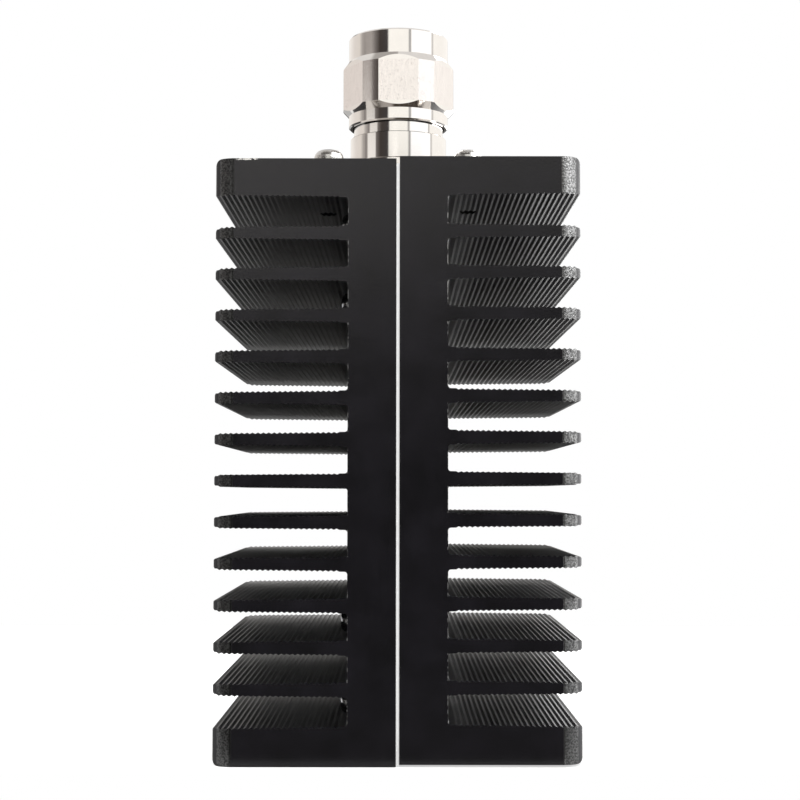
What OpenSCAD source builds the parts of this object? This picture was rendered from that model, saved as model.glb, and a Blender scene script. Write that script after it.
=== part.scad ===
// Coaxial termination: a plug connector on a block of two finned heat sink halves
// The origin is under the block's middle, +Z runs up the connector's axis, and the fins reach out along X

/* [Heat sink] */
// Width of the block, over the fin tips of both halves
block_w = 61; // [56:0.1:80]
// Depth of the block, along the ribs of the fins
block_d = 60; // [56:0.5:90]
// Thickness of the web that carries the fins of a half
web_t = 8; // [7.8:0.1:12]
// Number of thin fins on a half, between its two end fins
fin_count = 12; // [9:1:16]
// Spacing of the thin fins
fin_pitch = 6.83; // [6.6:0.01:9]
// Thickness of an end fin where it leaves the web
end_fin_t = 6.5; // [5.6:0.1:10]
// From an end fin's inner side to the middle of the next thin fin
end_gap = 5.935; // [5.8:0.005:9]
// Thickness of a thin fin at the web, over the ribs
fin_root_t = 2.45; // [2.1:0.05:2.7]
// Thickness of a thin fin beside its nose, over the ribs
fin_tip_t = 2; // [1.6:0.05:2.2]
// Length of the plain nose at a fin's tip
nose_l = 0.4; // [0.4:0.05:1.5]
// Thickness of the plain nose
nose_t = 1.6; // [1.3:0.05:1.8]
// Chamfer round the nose and the end fins' inner edges
nose_c = 0.3; // [0.1:0.05:0.35]
// Spacing of the cooling ribs along a fin
rib_pitch = 0.895; // [0.8:0.005:1.4]
// Height of a cooling rib
rib_h = 0.22; // [0.15:0.01:0.35]
// Fillet between the web and a fin
root_r = 0.45; // [0.3:0.05:1]
// Plain run from the web to the first rib
rib_start = 1.3; // [1.1:0.1:3]
// Radius of an end fin's outer edge
edge_r = 1.1; // [0.5:0.1:2]
// Radius of the block's four upright corners
corner_r = 3.5; // [1:0.1:5]
// Height by which the right half is clamped above the left one
slip = 0.4; // [0:0.05:0.8]

/* [Thermal pad] */
// Thickness of the pad, which is the gap between the halves
pad_t = 0.55; // [0.3:0.05:1.5]
// Distance of the pad below the top of the left half
pad_inset_top = 0.8; // [0.1:0.1:3]
// Distance of the pad from the front, the back and the floor
pad_inset = 0.15; // [0.05:0.05:2]

/* [Connector body] */
// Width of the square flange
flange_w = 32; // [30:0.5:38]
// Thickness of the flange
flange_t = 2.4; // [1.6:0.1:4]
// Corner radius of the flange
flange_r = 3; // [1:0.5:4]
// From the axis to each row of flange screws
flange_hole = 12.25; // [11.8:0.05:12.6]
// Diameter of the shoulder on the flange
shoulder_d = 19.4; // [18:0.1:21]
// Height of the shoulder above the flange
shoulder_h = 1.8; // [1:0.1:3]
// Diameter of the neck above the shoulder
neck_d = 17.55; // [16.9:0.05:17.7]
// Height of the neck
neck_h = 4.8; // [3:0.05:9]
// Chamfer at the top of the neck
neck_c = 0.1; // [0.05:0.05:0.4]
// Diameter of the collar that the coupling nut reaches over
collar_d = 16.3; // [15.5:0.05:16.5]
// Height of the collar
collar_h = 3.6; // [2.6:0.05:5]
// Diameter of the spigot that the coupling nut turns on
spigot_d = 12.9; // [12.4:0.05:13.4]
// Height of the spigot
spigot_h = 5.75; // [5.2:0.05:7]
// Outer diameter of the outer contact
sleeve_d = 8.2; // [8:0.05:8.6]
// Inner diameter of the outer contact and of the body's bore
sleeve_bore = 7; // [6.6:0.05:7.2]
// Height of the outer contact above the spigot
sleeve_h = 7.7; // [6:0.1:9]

/* [Coupling nut] */
// Diameter of the plain rings above and below the flats
nut_ring_d = 18.2; // [17.9:0.05:18.9]
// Diameter over the rounded corners of the hexagon
nut_corner_d = 20.3; // [20:0.05:21.5]
// Size across the flats
nut_flat = 19; // [18.9:0.05:19.8]
// Height of the lower ring, up to its cone
nut_low_h = 2.2; // [1.8:0.05:3]
// Height of the lower cone, from the ring up to the corners
nut_cone_low_h = 1.15; // [0.6:0.05:2]
// Height of the corners between the cones
nut_corner_h = 7.45; // [6:0.05:10]
// Height of the upper cone, from the corners up to the ring
nut_cone_up_h = 1.4; // [0.6:0.05:2.5]
// Height of the upper ring
nut_up_h = 4.4; // [3:0.05:6]
// Chamfer round the mouth's outer edge
nut_edge_c = 0.3; // [0.2:0.05:0.7]
// Wall of the skirt that reaches over the collar
skirt_wall = 0.7; // [0.5:0.05:0.8]
// Depth of the skirt below the inner ring
skirt_h = 1.9; // [1:0.05:2.4]
// Thickness of the inner ring that turns on the spigot
nut_ring_t = 2; // [1.2:0.1:2.6]
// Crest diameter of the nut's inner thread
thread_crest_d = 14.9; // [14.6:0.05:15.2]
// Root diameter of the nut's inner thread
thread_root_d = 15.88; // [15.6:0.02:16.4]
// Length of the relief between the inner ring and the thread
relief_h = 2.4; // [1.6:0.1:4]
// Chamfer inside the mouth
mouth_c = 0.5; // [0.2:0.05:0.55]
// Radial clearance of the nut on the spigot
nut_run = 0.08; // [0.03:0.01:0.1]
// Axial clearance of the nut, below and above its inner ring
nut_play = 0.3; // [0.15:0.05:0.4]

/* [Retaining ring and gasket] */
// Outer diameter of the retaining ring
clip_d = 14.3; // [13.8:0.05:14.5]
// Thickness of the retaining ring
clip_t = 0.8; // [0.6:0.05:1]
// Depth of the groove that holds the ring
groove_depth = 0.7; // [0.4:0.05:1]
// Width of the gap in the ring
clip_gap = 2.5; // [1.5:0.1:4]
// Thickness of the gasket round the outer contact
gasket_t = 1.5; // [1:0.1:2]
// Width of the gasket's section
gasket_w = 2; // [1.2:0.05:2.1]

/* [Pin and insulator] */
// Diameter of the centre pin inside the insulator
pin_d = 3; // [2.4:0.05:3.4]
// Diameter of the pin's contact tip
pin_tip_d = 1.65; // [1.4:0.01:1.8]
// Height of the thick part of the pin above the spigot
pin_rise = 1.2; // [0.4:0.1:2]
// Length of the contact tip, from the thick part up
pin_tip_l = 4.9; // [4:0.1:6]
// Depth of the insulator below the flange
insulator_drop = 5; // [3:0.1:6]
// Recess of the insulator below the spigot's top
insulator_recess = 0.5; // [0:0.1:2]
// Length of the solder tail below the insulator
tail_l = 6; // [4:0.1:8]
// Diameter of the solder tail
tail_d = 1.3; // [1:0.05:2]

/* [Screws] */
// Thread diameter of the four flange screws
flange_screw_d = 3; // [2.5:0.1:3.2]
// Length of a flange screw under its head
flange_screw_l = 8; // [6:0.5:9]
// Head diameter of a flange screw
flange_head_d = 5.2; // [5:0.1:6]
// Head height of a flange screw
flange_head_h = 2.4; // [1.8:0.1:3]
// Thread diameter of the eight clamp screws
clamp_screw_d = 2.5; // [2:0.1:2.6]
// Depth that a clamp screw reaches into the right half
clamp_grip = 6; // [4:0.1:6.5]
// Head diameter of a clamp screw
clamp_head_d = 4; // [3.6:0.05:4.6]
// Head height of a clamp screw
clamp_head_h = 1.65; // [1.3:0.05:2.4]
// From the block's middle plane to each row of clamp screws
clamp_row = 15; // [14.6:0.1:22]
// Thread diameter of the two resistor screws
resistor_screw_d = 2.5; // [2:0.1:3]
// Depth that a resistor screw reaches into the right half
resistor_grip = 2.8; // [2:0.1:3]
// Head diameter of a resistor screw
resistor_head_d = 4.4; // [3.8:0.1:4.8]
// Head height of a resistor screw
resistor_head_h = 1.7; // [1.2:0.1:2]
// Blade width of the cross recess in every head
cross_w = 0.7; // [0.5:0.05:0.9]
// Span of the cross recess
cross_l = 2.6; // [2:0.1:3]
// Depth of the cross recess
cross_depth = 1; // [0.5:0.05:1.1]

/* [Power resistor] */
// Distance of the resistor's middle below the top of the left half
resistor_drop = 20; // [17:0.5:34]
// Length of the mounting flange
resistor_l = 24.8; // [24:0.1:25.2]
// Width of the mounting flange and of the substrate
resistor_w = 9.5; // [8:0.1:10]
// Thickness of the mounting flange
resistor_t = 3; // [2:0.1:3.2]
// From an end of the mounting flange to the middle of its hole
resistor_end = 3.2; // [3:0.1:3.6]
// Length of the ceramic substrate along the flange
substrate_l = 9.5; // [8:0.1:10]
// Thickness of the ceramic substrate
substrate_t = 1; // [0.6:0.1:1.2]
// Thickness of the cover over the resistive film
cover_t = 0.9; // [0.5:0.1:1.2]
// Height of the cover along the substrate
cover_h = 7; // [5:0.1:7.2]
// Width of the tab
tab_w = 2; // [1:0.1:3]
// Thickness of the tab
tab_t = 0.15; // [0.1:0.01:0.3]
// Length of the tab on the substrate
tab_seat = 2; // [1:0.1:2.2]
// Overlap of the tab on the pin's solder tail
tab_lap = 2.5; // [1:0.1:3.5]

/* [Clearances] */
// Radial clearance round a screw in a through hole
hole_slack = 0.15; // [0.1:0.01:0.3]
// Radial clearance between a screw's crests and a tapped hole
thread_slack = 0.03; // [0.02:0.01:0.06]
// Room past the tip of a screw in a blind hole
tip_room = 0.4; // [0.2:0.1:0.6]
// Radial clearance round a clamp screw's head
head_slack = 0.12; // [0.1:0.01:0.2]
// Clearance between pieces pushed together inside the connector
push_slack = 0.02; // [0.01:0.01:0.04]
// Room round the resistor in its pocket
pocket_room = 0.4; // [0.3:0.1:0.8]

/* [Hidden] */
$fn = 64;

// Overlap that lets a cut pass clean through a face
cut = 0.5;

// Heat sink: the web's inner face, its fin side and the fin tips, as distances from the middle plane
web_in = pad_t / 2;
web_out = web_in + web_t;
tip_x = block_w / 2;
fin_l = tip_x - web_out;
block_h = 2 * (end_fin_t + end_gap) + (fin_count - 1) * fin_pitch;
rib_count = floor((fin_l - nose_l - rib_start) / rib_pitch - 0.5);

// Connector: its pieces stand on the right half, which is the higher one
seat_z = block_h + slip;
flange_z = seat_z + flange_t;
shoulder_z = flange_z + shoulder_h;
neck_z = shoulder_z + neck_h;
collar_z = neck_z + collar_h;
spigot_z = collar_z + spigot_h;
sleeve_z = spigot_z + sleeve_h;
insulator_r = sleeve_bore / 2 - push_slack;
insulator_low = seat_z - insulator_drop;
tail_low = insulator_low - tail_l;

// Coupling nut: its inner ring floats between the collar and the retaining ring
ring_low = collar_z + nut_play;
ring_high = ring_low + nut_ring_t;
clip_low = ring_high + nut_play;
skirt_r = nut_ring_d / 2 - skirt_wall;
nut_low = ring_low - skirt_h;
nut_top = nut_low + nut_low_h + nut_cone_low_h + nut_corner_h + nut_cone_up_h + nut_up_h;

// Resistor: it lies on the right half, with its tab in the plane of the pin's axis
resistor_z = block_h - resistor_drop;
resistor_hole = resistor_l / 2 - resistor_end;
substrate_x = tab_t + substrate_t;
pocket_x = substrate_x + resistor_t;
pocket_top = resistor_z + resistor_w / 2 + pocket_room;
pocket_left_x = max(cover_t - tab_t, resistor_head_h - substrate_x) + pocket_room;
bore_r = insulator_r + pocket_room;

// Height of a channel's middle, counted from an end of a half
function channel(k) = k == 1
    ? end_fin_t + (end_gap - fin_root_t / 2) / 2
    : end_fin_t + end_gap + (k - 1.5) * fin_pitch;

// Channels and rows that hold the clamp screws, as [height, depth]
clamp_places = [
    for (side = [-1, 1])
        each [
            for (z = [block_h - channel(1), block_h - channel(3), channel(3), channel(1)])
                [z, side * clamp_row]
        ]
];
flange_places = [for (sx = [-1, 1], sy = [-1, 1]) [sx * flange_hole, sy * flange_hole]];

// Points of an arc about [x, y], from one angle to another
function arc(x, y, r, from, to, steps) = [
    for (i = [0 : steps])
        let (a = from + (to - from) * i / steps)
            [x + r * cos(a), y + r * sin(a)]
];

function reversed(points) = [for (i = [len(points) - 1 : -1 : 0]) points[i]];

// Half of a thin fin's thickness over the ribs, at a distance from the web
function half_t(u) = (fin_root_t - (fin_root_t - fin_tip_t) * u / (fin_l - nose_l)) / 2;

// Wall of a fin, over the ribs to the groove beside the nose: distance from the web, half thickness
rib_wall = [
    for (k = [0 : rib_count])
        let (u = rib_start + k * rib_pitch)
            each [[u, half_t(u)], [u + rib_pitch / 2, half_t(u + rib_pitch / 2) - rib_h]]
];

// Outline of the nose, from the fin's lower side to its upper side
nose = [
    [fin_l - nose_l, -nose_t / 2],
    [fin_l - nose_c, -nose_t / 2],
    [fin_l, nose_c - nose_t / 2],
    [fin_l, nose_t / 2 - nose_c],
    [fin_l - nose_c, nose_t / 2],
    [fin_l - nose_l, nose_t / 2]
];

// One side of a thin fin, with its root fillet, then the nose and the other side
function fin_outline(z) = [
    for (p = concat(
        arc(root_r, -half_t(root_r) - root_r, root_r, 180, 90, 4),
        [for (q = rib_wall) [q.x, -q.y]],
        nose,
        reversed(rib_wall),
        arc(root_r, half_t(root_r) + root_r, root_r, 270, 180, 4)
    ))
        [web_out + p.x, z + p.y]
];

// The lower end fin from the middle plane round to the first channel's floor
end_rise = end_fin_t - fin_root_t / 2;
end_tip_z = end_rise + nose_t / 2;
end_outline = concat(
    [[web_in, 0]],
    arc(tip_x - edge_r, edge_r, edge_r, -90, 0, 6),
    [[tip_x, end_tip_z - nose_c], [tip_x - nose_c, end_tip_z], [tip_x - nose_l, end_tip_z]],
    [for (q = reversed(rib_wall)) [web_out + q.x, end_rise + q.y]],
    arc(web_out + root_r, end_rise + half_t(root_r) + root_r, root_r, 270, 180, 4)
);

// Section of a half on the +X side: the end fins mirror each other about mid height
comb = concat(
    end_outline,
    [for (i = [0 : fin_count - 1]) each fin_outline(end_fin_t + end_gap + i * fin_pitch)],
    [for (p = reversed(end_outline)) [p.x, block_h - p.y]]
);

// A half as it comes off the saw, with its two outer corners rounded
module comb_block() {
    difference() {
        rotate([90, 0, 0]) linear_extrude(block_d, center = true) polygon(comb);
        for (side = [-1, 1])
            translate([tip_x - corner_r, side * (block_d / 2 - corner_r), -cut])
                linear_extrude(block_h + 2 * cut)
                    difference() {
                        translate([0, side > 0 ? 0 : -corner_r - cut])
                            square([corner_r + cut, corner_r + cut]);
                        circle(corner_r);
                    }
    }
}

// Space milled for the connector's tail and the resistor, reaching a given way into a half on the +X side
module inner_space(reach) {
    translate([0, 0, pocket_top - cut]) cylinder(r = bore_r, h = seat_z + cut - pocket_top + cut);
    translate([-cut, -resistor_l / 2 - pocket_room, resistor_z - resistor_w / 2 - pocket_room])
        cube([reach + cut, resistor_l + 2 * pocket_room, resistor_w + 2 * pocket_room]);
}

// Tapped holes for the flange screws of one half, through its upper end fin
module flange_taps() {
    for (side = [-1, 1])
        translate([flange_hole, side * flange_hole, seat_z - slip - end_fin_t - cut])
            cylinder(d = flange_screw_d + 2 * thread_slack, h = end_fin_t + slip + 2 * cut);
}

module heatsink_left() {
    color([0.10, 0.10, 0.11])
        difference() {
            mirror([1, 0, 0])
                difference() {
                    comb_block();
                    inner_space(pocket_left_x);
                    flange_taps();
                }
            for (p = clamp_places)
                translate([0, p.y, p.x]) rotate([0, -90, 0]) {
                    translate([0, 0, web_in - cut])
                        cylinder(d = clamp_screw_d + 2 * hole_slack, h = web_t + 2 * cut);
                    translate([0, 0, web_out])
                        cylinder(d = clamp_head_d + 2 * head_slack, h = fin_l + cut);
                }
        }
}

module heatsink_right() {
    color([0.10, 0.10, 0.11])
        difference() {
            translate([0, 0, slip]) comb_block();
            inner_space(pocket_x);
            flange_taps();
            for (p = clamp_places)
                translate([web_in - cut, p.y, p.x]) rotate([0, 90, 0])
                    cylinder(d = clamp_screw_d + 2 * thread_slack, h = clamp_grip + tip_room + cut);
            for (side = [-1, 1])
                translate([pocket_x - cut, side * resistor_hole, resistor_z]) rotate([0, 90, 0])
                    cylinder(d = resistor_screw_d + 2 * thread_slack, h = resistor_grip + tip_room + cut);
        }
}

module thermal_pad() {
    pad_h = block_h - pad_inset_top - pad_inset;
    color([0.95, 0.95, 0.93])
        difference() {
            translate([-pad_t / 2, pad_inset - block_d / 2, pad_inset])
                cube([pad_t, block_d - 2 * pad_inset, pad_h]);
            inner_space(pad_t);
            mirror([1, 0, 0]) inner_space(pad_t);
            for (p = clamp_places)
                translate([-pad_t, p.y, p.x]) rotate([0, 90, 0])
                    cylinder(d = clamp_screw_d + 2 * hole_slack, h = 2 * pad_t);
        }
}

// Square flange with round corners and four through holes
module flange_plate() {
    inner = flange_w / 2 - flange_r;
    translate([0, 0, seat_z])
        linear_extrude(flange_t)
            difference() {
                union() {
                    square([flange_w, 2 * inner], center = true);
                    square([2 * inner, flange_w], center = true);
                    for (sx = [-1, 1], sy = [-1, 1]) translate([sx * inner, sy * inner]) circle(flange_r);
                }
                circle(d = sleeve_bore);
                for (p = flange_places) translate(p) circle(d = flange_screw_d + 2 * hole_slack);
            }
}

module connector_body() {
    bore = sleeve_bore / 2;
    spigot_r = spigot_d / 2;
    groove_r = spigot_r - groove_depth;
    clip_top = clip_low + clip_t + 2 * push_slack;
    body_edge = 0.2;
    color([0.80, 0.79, 0.76])
        union() {
            flange_plate();
            rotate_extrude()
                polygon([
                    [bore, flange_z - cut],
                    [shoulder_d / 2, flange_z - cut],
                    [shoulder_d / 2, shoulder_z - body_edge],
                    [shoulder_d / 2 - body_edge, shoulder_z],
                    [neck_d / 2, shoulder_z],
                    [neck_d / 2, neck_z - neck_c],
                    [neck_d / 2 - neck_c, neck_z],
                    [collar_d / 2, neck_z],
                    [collar_d / 2, collar_z - body_edge],
                    [collar_d / 2 - body_edge, collar_z],
                    [spigot_r, collar_z],
                    [spigot_r, clip_low - push_slack],
                    [groove_r, clip_low - push_slack],
                    [groove_r, clip_top],
                    [spigot_r, clip_top],
                    [spigot_r, spigot_z - body_edge],
                    [spigot_r - body_edge, spigot_z],
                    [sleeve_d / 2, spigot_z],
                    [sleeve_d / 2, sleeve_z - body_edge],
                    [sleeve_d / 2 - body_edge, sleeve_z],
                    [bore, sleeve_z]
                ]);
        }
}

module coupling_nut() {
    ring_r = nut_ring_d / 2;
    corner_rad = nut_corner_d / 2;
    cone_low_z = nut_low + nut_low_h;
    corner_low_z = cone_low_z + nut_cone_low_h;
    corner_high_z = corner_low_z + nut_corner_h;
    cone_high_z = corner_high_z + nut_cone_up_h;
    hole_r = spigot_d / 2 + nut_run;
    low_edge = 0.25;
    color([0.86, 0.85, 0.82])
        intersection() {
            rotate_extrude()
                polygon([
                    [skirt_r, nut_low],
                    [ring_r - low_edge, nut_low],
                    [ring_r, nut_low + low_edge],
                    [ring_r, cone_low_z],
                    [corner_rad, corner_low_z],
                    [corner_rad, corner_high_z],
                    [ring_r, cone_high_z],
                    [ring_r, nut_top - nut_edge_c],
                    [ring_r - nut_edge_c, nut_top],
                    [thread_crest_d / 2 + mouth_c, nut_top],
                    [thread_crest_d / 2, nut_top - mouth_c],
                    [thread_crest_d / 2, ring_high + relief_h],
                    [thread_root_d / 2, ring_high + relief_h],
                    [thread_root_d / 2, ring_high],
                    [hole_r, ring_high],
                    [hole_r, ring_low],
                    [skirt_r, ring_low]
                ]);
            translate([0, 0, nut_low - cut])
                cylinder(r = nut_flat / sqrt(3), h = nut_top - nut_low + 2 * cut, $fn = 6);
        }
}

// Snap ring in the spigot's groove, open at the back
module nut_retaining_ring() {
    color([0.72, 0.60, 0.30])
        translate([0, 0, clip_low])
            linear_extrude(clip_t)
                difference() {
                    circle(d = clip_d);
                    circle(r = spigot_d / 2 - groove_depth + push_slack);
                    translate([-clip_gap / 2, 0]) square([clip_gap, clip_d]);
                }
}

module nut_gasket() {
    inner = sleeve_d / 2 + push_slack;
    color([0.75, 0.25, 0.15])
        translate([0, 0, spigot_z])
            linear_extrude(gasket_t)
                difference() {
                    circle(r = inner + gasket_w);
                    circle(r = inner);
                }
}

module connector_insulator() {
    color([0.97, 0.97, 0.96])
        translate([0, 0, insulator_low])
            difference() {
                cylinder(r = insulator_r, h = spigot_z - insulator_recess - insulator_low);
                translate([0, 0, -cut])
                    cylinder(r = pin_d / 2 + push_slack, h = spigot_z - insulator_low + 2 * cut);
            }
}

// The tail is filed to half its section, so that the tab lies on its flat
module centre_pin() {
    tip_r = pin_tip_d / 2;
    pin_shoulder_z = spigot_z + pin_rise;
    pin_top = pin_shoulder_z + pin_tip_l;
    taper = pin_d / 2 - tip_r;
    color([0.85, 0.68, 0.30]) {
        rotate_extrude()
            polygon([
                [0, insulator_low],
                [pin_d / 2, insulator_low],
                [pin_d / 2, pin_shoulder_z - taper],
                [tip_r, pin_shoulder_z],
                [tip_r, pin_top - tip_r],
                [tip_r / 3, pin_top],
                [0, pin_top]
            ]);
        difference() {
            translate([0, 0, tail_low]) cylinder(d = tail_d, h = tail_l + cut);
            translate([0, -tail_d, tail_low - cut]) cube([tail_d, 2 * tail_d, tail_l + cut]);
        }
    }
}

// Pan head screw: its head's seat at the origin, its shank down -Z
module pan_screw(d, shank, head_d, head_h) {
    round_r = 0.62 * head_h;
    crown = 0.1 * head_h;
    color([0.78, 0.78, 0.77])
        difference() {
            rotate_extrude()
                polygon(concat(
                    [[0, -shank], [d / 2, -shank], [d / 2, 0], [head_d / 2, 0]],
                    arc(head_d / 2 - round_r, head_h - crown - round_r, round_r, 0, 75, 5),
                    [[0, head_h]]
                ));
            for (turn = [0, 90])
                rotate(turn)
                    translate([-cross_l / 2, -cross_w / 2, head_h - cross_depth])
                        cube([cross_l, cross_w, cross_depth + cut]);
        }
}

module flange_screw(i) {
    p = flange_places[i - 1];
    translate([p.x, p.y, flange_z])
        rotate(20 * i)
            pan_screw(flange_screw_d, flange_screw_l, flange_head_d, flange_head_h);
}

module clamp_screw(i) {
    p = clamp_places[i - 1];
    translate([-web_out, p.y, p.x])
        rotate([0, -90, 0])
            rotate(25 * i)
                pan_screw(clamp_screw_d, web_t + pad_t + clamp_grip, clamp_head_d, clamp_head_h);
}

module resistor_flange() {
    color([0.80, 0.50, 0.30])
        translate([substrate_x, 0, resistor_z])
            difference() {
                translate([0, -resistor_l / 2, -resistor_w / 2]) cube([resistor_t, resistor_l, resistor_w]);
                for (side = [-1, 1])
                    translate([-cut, side * resistor_hole, 0]) rotate([0, 90, 0])
                        cylinder(d = resistor_screw_d + 2 * hole_slack, h = resistor_t + 2 * cut);
            }
}

module resistor_substrate() {
    color([0.93, 0.93, 0.90])
        translate([tab_t, -substrate_l / 2, resistor_z - resistor_w / 2])
            cube([substrate_t, substrate_l, resistor_w]);
}

module resistor_cover() {
    color([0.90, 0.90, 0.86])
        translate([tab_t - cover_t, -substrate_l / 2, resistor_z - resistor_w / 2])
            cube([cover_t, substrate_l, cover_h]);
}

// Silver strip from the substrate's upper edge to the flat of the pin's tail
module resistor_tab() {
    tab_low = resistor_z + resistor_w / 2 - tab_seat;
    color([0.85, 0.85, 0.86])
        translate([0, -tab_w / 2, tab_low])
            cube([tab_t, tab_w, tail_low + tab_lap - tab_low]);
}

module resistor_screw(side) {
    translate([substrate_x, side * resistor_hole, resistor_z])
        rotate([0, -90, 0])
            rotate(side * 35)
                pan_screw(resistor_screw_d, resistor_t + resistor_grip, resistor_head_d, resistor_head_h);
}

heatsink_left();
heatsink_right();
thermal_pad();
connector_body();
coupling_nut();
nut_retaining_ring();
nut_gasket();
connector_insulator();
centre_pin();
flange_screw(1);  // flange_screw_1
flange_screw(2);  // flange_screw_2
flange_screw(3);  // flange_screw_3
flange_screw(4);  // flange_screw_4
clamp_screw(1);  // clamp_screw_1
clamp_screw(2);  // clamp_screw_2
clamp_screw(3);  // clamp_screw_3
clamp_screw(4);  // clamp_screw_4
clamp_screw(5);  // clamp_screw_5
clamp_screw(6);  // clamp_screw_6
clamp_screw(7);  // clamp_screw_7
clamp_screw(8);  // clamp_screw_8
resistor_flange();
resistor_substrate();
resistor_cover();
resistor_tab();
resistor_screw(-1);  // resistor_screw_1
resistor_screw(1);  // resistor_screw_2
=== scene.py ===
import math

import bpy
import numpy as np
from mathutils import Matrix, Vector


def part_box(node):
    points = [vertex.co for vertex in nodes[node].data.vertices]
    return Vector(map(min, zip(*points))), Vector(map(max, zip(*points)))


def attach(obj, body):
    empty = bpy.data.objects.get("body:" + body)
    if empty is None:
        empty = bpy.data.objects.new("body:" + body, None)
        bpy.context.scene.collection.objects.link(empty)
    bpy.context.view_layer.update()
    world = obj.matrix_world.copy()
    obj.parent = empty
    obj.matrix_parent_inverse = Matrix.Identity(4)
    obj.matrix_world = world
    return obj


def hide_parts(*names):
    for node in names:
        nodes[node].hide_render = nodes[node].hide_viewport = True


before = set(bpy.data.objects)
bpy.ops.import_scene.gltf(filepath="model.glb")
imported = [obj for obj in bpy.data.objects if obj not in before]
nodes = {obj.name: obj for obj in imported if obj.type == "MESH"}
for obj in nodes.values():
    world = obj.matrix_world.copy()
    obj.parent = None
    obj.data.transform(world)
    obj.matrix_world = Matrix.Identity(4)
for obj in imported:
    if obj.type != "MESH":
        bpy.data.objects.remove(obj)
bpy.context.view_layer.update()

# Studio
# A photographer's table: a pale floor that runs out of sight, a white room behind it, one large soft lamp
# up on the right and a weaker one on the left, with a dark curtain between the left lamp and the camera.

# The camera stands level with the lower half of the block and looks slightly up
CAMERA_PLACE = (0.0002, -0.3004, 0.0447)
CAMERA_PITCH = math.radians(2.866)
CAMERA_YAW = math.radians(-0.035)
CAMERA_ROLL = math.radians(-0.07)
CAMERA_NEAR = 0.01
FOCAL_LENGTH_PX = 1646
FRAME_RISE_PX = 10
IMAGE_PX = 800
SENSOR_MM = 36


def place_camera():
    """One camera with the lens that gives the photographed perspective."""
    data = bpy.data.cameras.new("camera")
    data.sensor_width = SENSOR_MM
    data.lens = SENSOR_MM * FOCAL_LENGTH_PX / IMAGE_PX
    data.shift_y = FRAME_RISE_PX / IMAGE_PX
    data.clip_start = CAMERA_NEAR
    camera = bpy.data.objects.new("camera", data)
    camera.location = CAMERA_PLACE
    camera.rotation_euler = (math.pi / 2 + CAMERA_PITCH, CAMERA_ROLL, CAMERA_YAW)
    bpy.context.scene.collection.objects.link(camera)
    bpy.context.scene.camera = camera


def add_node(tree, kind, inputs=None, **settings):
    """A node with its settings; an input is a value, or an output socket to link from."""
    node = tree.nodes.new(kind)
    for name, value in settings.items():
        setattr(node, name, value)
    for key, value in (inputs or {}).items():
        if isinstance(value, bpy.types.NodeSocket):
            tree.links.new(value, node.inputs[key])
        else:
            node.inputs[key].default_value = value
    return node


def add_math(tree, operation, first, second=None, third=None):
    """Output of a Math node on one, two or three values or sockets."""
    given = {i: v for i, v in enumerate((first, second, third)) if v is not None}
    return add_node(tree, "ShaderNodeMath", given, operation=operation).outputs[0]


def ramp(tree, factor, stops):
    """Colour output of a Color Ramp whose stops are (position, grey or colour)."""
    node = add_node(tree, "ShaderNodeValToRGB", {0: factor})
    while len(node.color_ramp.elements) < len(stops):
        node.color_ramp.elements.new(1)
    for element, (position, value) in zip(node.color_ramp.elements, stops):
        element.position = position
        colour = (value, value, value) if isinstance(value, (int, float)) else value
        element.color = (*colour, 1)
    return node.outputs["Color"]


def mix_colour(tree, factor, first, second, blend_type="MIX"):
    """Colour output of a Mix node."""
    node = add_node(tree, "ShaderNodeMix", data_type="RGBA", blend_type=blend_type)
    for socket, value in ((node.inputs[0], factor), (node.inputs[6], first), (node.inputs[7], second)):
        if isinstance(value, bpy.types.NodeSocket):
            tree.links.new(value, socket)
        else:
            socket.default_value = value if isinstance(value, (int, float)) else (*value, 1)
    return node.outputs[2]


def step_between(tree, value, low, high):
    """Smooth 0 to 1 step as a value goes from low to high."""
    given = {0: value, 1: low, 2: high}
    return add_node(tree, "ShaderNodeMapRange", given, interpolation_type="SMOOTHSTEP").outputs[0]


# Brightness of the room round the object, as (degrees from the camera towards the right, colour)
ROOM = [
    (-180, (1.05, 1.02, 0.98)),
    (-140, (0.90, 0.86, 0.82)),
    (-122, (0.80, 0.75, 0.71)),
    (-103, (0.78, 0.73, 0.68)),
    (-93, (0.42, 0.39, 0.37)),
    (-86, (0.36, 0.33, 0.31)),
    (-66, (0.38, 0.35, 0.33)),
    (-56, (0.20, 0.18, 0.17)),
    (-44, (0.055, 0.045, 0.04)),
    (-25, (0.055, 0.05, 0.05)),
    (-22, (1.08, 1.06, 1.01)),
    (23, (1.08, 1.06, 1.01)),
    (25, (0.42, 0.41, 0.40)),
    (28, (0.42, 0.41, 0.40)),
    (31, (1.25, 1.25, 1.25)),
    (82, (1.25, 1.25, 1.25)),
    (84, (0.62, 0.60, 0.58)),
    (87, (0.62, 0.60, 0.58)),
    (90, (1.06, 1.04, 1.00)),
    (180, (1.05, 1.02, 0.98)),
]
# Brightness by height in front, at the sides and behind, as (degrees above the horizon, share)
FRONT_HEIGHTS = [(-90, 0.16), (-9, 0.15), (-4, 0.08), (1.5, 0.05), (6, 0.10), (9, 0.25), (12, 1), (90, 1)]
SIDE_HEIGHTS = [(-90, 0.05), (-4, 0.05), (3, 0.2), (9, 1), (90, 1)]
RIGHT_BACK_HEIGHTS = [
    (-90, 0.12), (-9, 0.12), (-5, 0.30), (-1, 0.30), (3, 0.08), (6, 0.10), (12, 0.80), (90, 1.0)
]
LEFT_BACK_HEIGHTS = [
    (-90, 0.05), (-9, 0.05), (-4, 0.03), (0, 0.02), (6, 0.03), (10, 0.10), (11.5, 0.8), (17, 0.8),
    (19, 0.10), (35, 0.10), (60, 1.0), (90, 1.0)
]
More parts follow.
